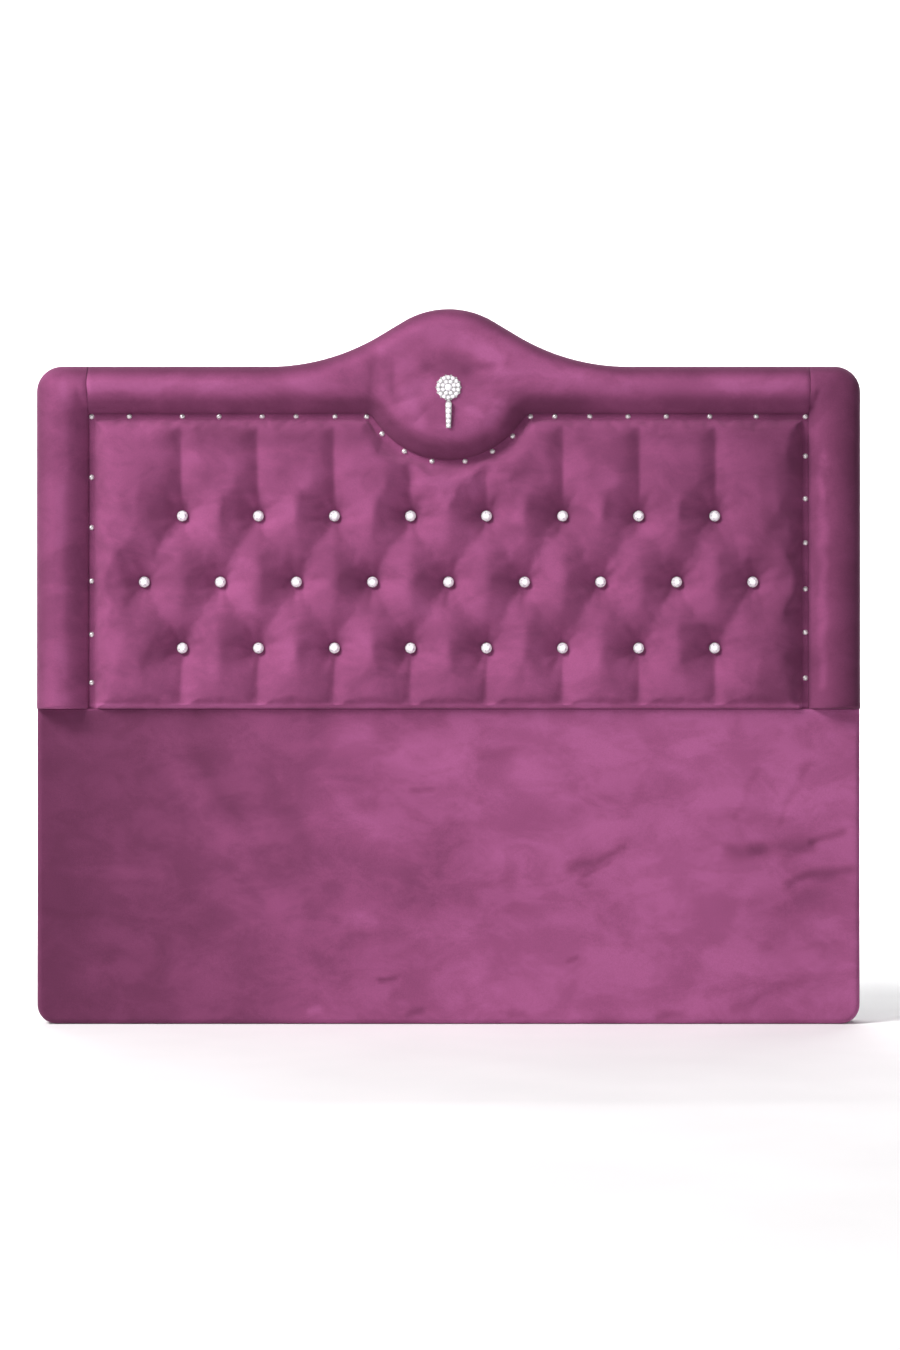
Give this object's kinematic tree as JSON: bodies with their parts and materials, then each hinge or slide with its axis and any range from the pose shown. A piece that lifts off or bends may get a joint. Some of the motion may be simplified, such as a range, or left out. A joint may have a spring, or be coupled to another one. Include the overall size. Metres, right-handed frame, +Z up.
{
  "type": "headboard",
  "caption": "Upholstered floor-standing headboard with a diamond-tufted panel, padded border with a crest and round lobe, plain lower panel and hanging drop.",
  "frame": {"origin": "on the floor, under the centre of the headboard's box", "axes": "+Z up, +X to the right of someone who looks at the front, the front faces -Y"},
  "size_m": [1.6, 0.1208, 1.39],
  "materials": {
    "velvet": "plush mauve-pink velvet with a short pile",
    "foam": "upholstery foam with wadding",
    "timber": "planed softwood",
    "plywood": "poplar plywood",
    "dowel": "beech dowel",
    "zinc_steel": "zinc plated",
    "nickel": "polished nickel plate",
    "crystal": "faceted foiled crystal",
    "twine": "waxed tufting twine",
    "dust_cloth": "black non-woven cloth"
  },
  "bodies": {
    "headboard": {"left_stile": "timber", "right_stile": "timber", "bottom_rail": "timber", "middle_rail": "timber", "top_rail": "timber", "lower_centre_stile": "timber", "upper_centre_stile": "timber", "crest_block": "timber", "corner_blocks": "timber", "frame_dowels": "dowel", "back_board": "plywood", "board_screws": "zinc_steel", "core_screws": "zinc_steel", "unit_screws": "zinc_steel", "tufted_base_board": "plywood", "tacking_strip_left": "timber", "tacking_strip_right": "timber", "tacking_strip_top": "timber", "tufted_foam": "foam", "tufted_velvet_cover": "velvet", "button_crystals": "crystal", "button_cups": "nickel", "tufting_twines": "twine", "tufting_washers": "zinc_steel", "decorative_nails": "nickel", "left_bolster_core": "plywood", "right_bolster_core": "plywood", "crest_core": "plywood", "left_bolster_foam": "foam", "right_bolster_foam": "foam", "crest_foam": "foam", "left_bolster_cover": "velvet", "right_bolster_cover": "velvet", "crest_cover": "velvet", "lower_foam": "foam", "lower_cover": "velvet", "dust_cover": "dust_cloth", "cover_staples": "zinc_steel", "bed_bolt_nuts": "zinc_steel", "brooch_plate": "nickel", "brooch_crystals": "crystal", "brooch_centre_crystal": "crystal", "pendant_pin": "nickel"},
    "pendant": {"pendant_bar": "nickel", "pendant_crystals": "crystal"}
  },
  "joints": [
    {"name": "pendant_swing", "type": "hinge", "parent": "headboard", "child": "pendant", "pos_m": [0, -0.05675, 1.2075], "axis": [0, 1, 0], "range_deg": [-60, 60]}
  ]
}
